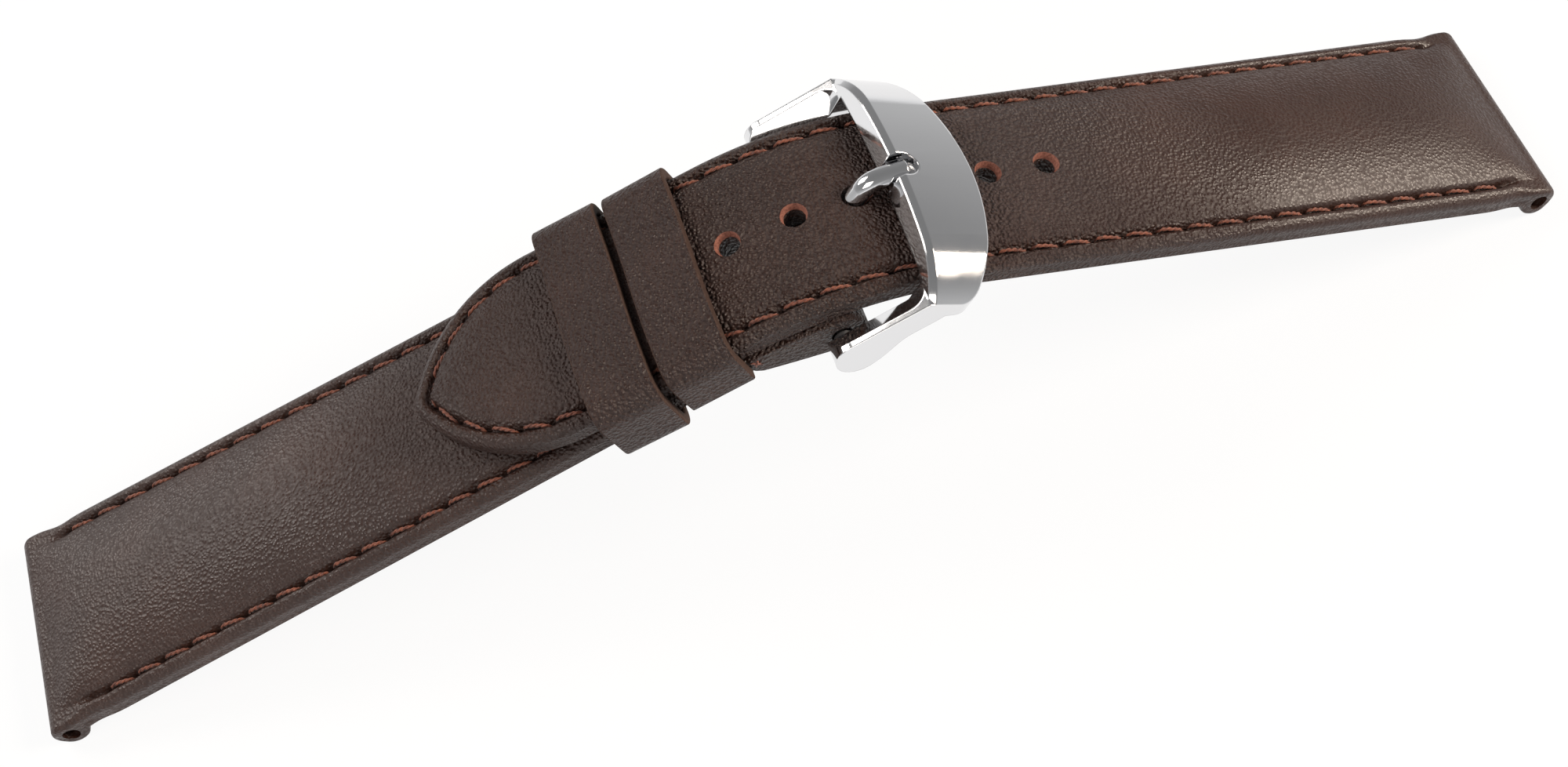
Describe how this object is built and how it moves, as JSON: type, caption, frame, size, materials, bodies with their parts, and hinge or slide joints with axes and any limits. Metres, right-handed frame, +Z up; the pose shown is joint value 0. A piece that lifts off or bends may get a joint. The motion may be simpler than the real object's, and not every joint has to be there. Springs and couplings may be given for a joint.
{
  "type": "leather watch strap",
  "caption": "Padded brown leather strap buckled into a low arch, with a tongue buckle, two keepers, a pointed punched tail and rolled lug ends for spring bars.",
  "frame": {"origin": "on the surface that the strap stands on, midway between its two lug ends and in its middle plane", "axes": "+X along the strap from the buckle half's lug end to the tail half's lug end, +Y across the strap, +Z up from the surface"},
  "size_m": [0.1426, 0.0242, 0.0275],
  "materials": {
    "strap_leather": "semi-gloss, fine grain",
    "keeper_leather": "semi-gloss, fine grain",
    "lining_leather": "matt, smooth",
    "filler": "raw fibre board of leather",
    "padding": "felt",
    "polished_steel": "polished",
    "brushed_steel": "fine turned",
    "spring_wire": "drawn wire"
  },
  "bodies": {
    "strap": {"short_top_leather": "strap_leather", "short_padding": "padding", "short_filler": "filler", "short_lining": "lining_leather", "tail_top_leather": "strap_leather", "tail_padding": "padding", "tail_filler": "filler", "tail_lining": "lining_leather", "fixed_keeper": "keeper_leather", "spring_bar_tube": "brushed_steel", "spring_bar_spring": "spring_wire"},
    "loose_keeper": {"floating_keeper": "keeper_leather"},
    "buckle": {"buckle_frame": "polished_steel"},
    "buckle_tongue": {"tongue": "polished_steel"},
    "near_pin": {"near_plunger": "brushed_steel"},
    "far_pin": {"far_plunger": "brushed_steel"}
  },
  "joints": [
    {"name": "keeper_slide", "type": "slide", "parent": "strap", "child": "loose_keeper", "axis": [0.9732, 0, 0.2301], "range_m": [-0.006, 0.0005]},
    {"name": "frame_hinge", "type": "hinge", "parent": "strap", "child": "buckle", "pos_m": [0.00481, 0, 0.0205], "axis": [0, -1, 0], "range_deg": [0, 2]},
    {"name": "tongue_hinge", "type": "hinge", "parent": "strap", "child": "buckle_tongue", "pos_m": [0.00481, 0, 0.0205], "axis": [0, -1, 0], "range_deg": [0, 2]},
    {"name": "near_plunger_slide", "type": "slide", "parent": "strap", "child": "near_pin", "axis": [0, 1, 0], "range_m": [0, 0.00095], "stiffness_N_per_m": 500, "springref_m": -0.0005, "deforming": ["spring_bar_spring"]},
    {"name": "far_plunger_slide", "type": "slide", "parent": "strap", "child": "far_pin", "axis": [0, -1, 0], "range_m": [0, 0.00095], "stiffness_N_per_m": 500, "springref_m": -0.0005, "deforming": ["spring_bar_spring"]}
  ],
  "couplings": [
    {"joint": "tongue_hinge", "follows": "frame_hinge", "ratio": 1}
  ]
}
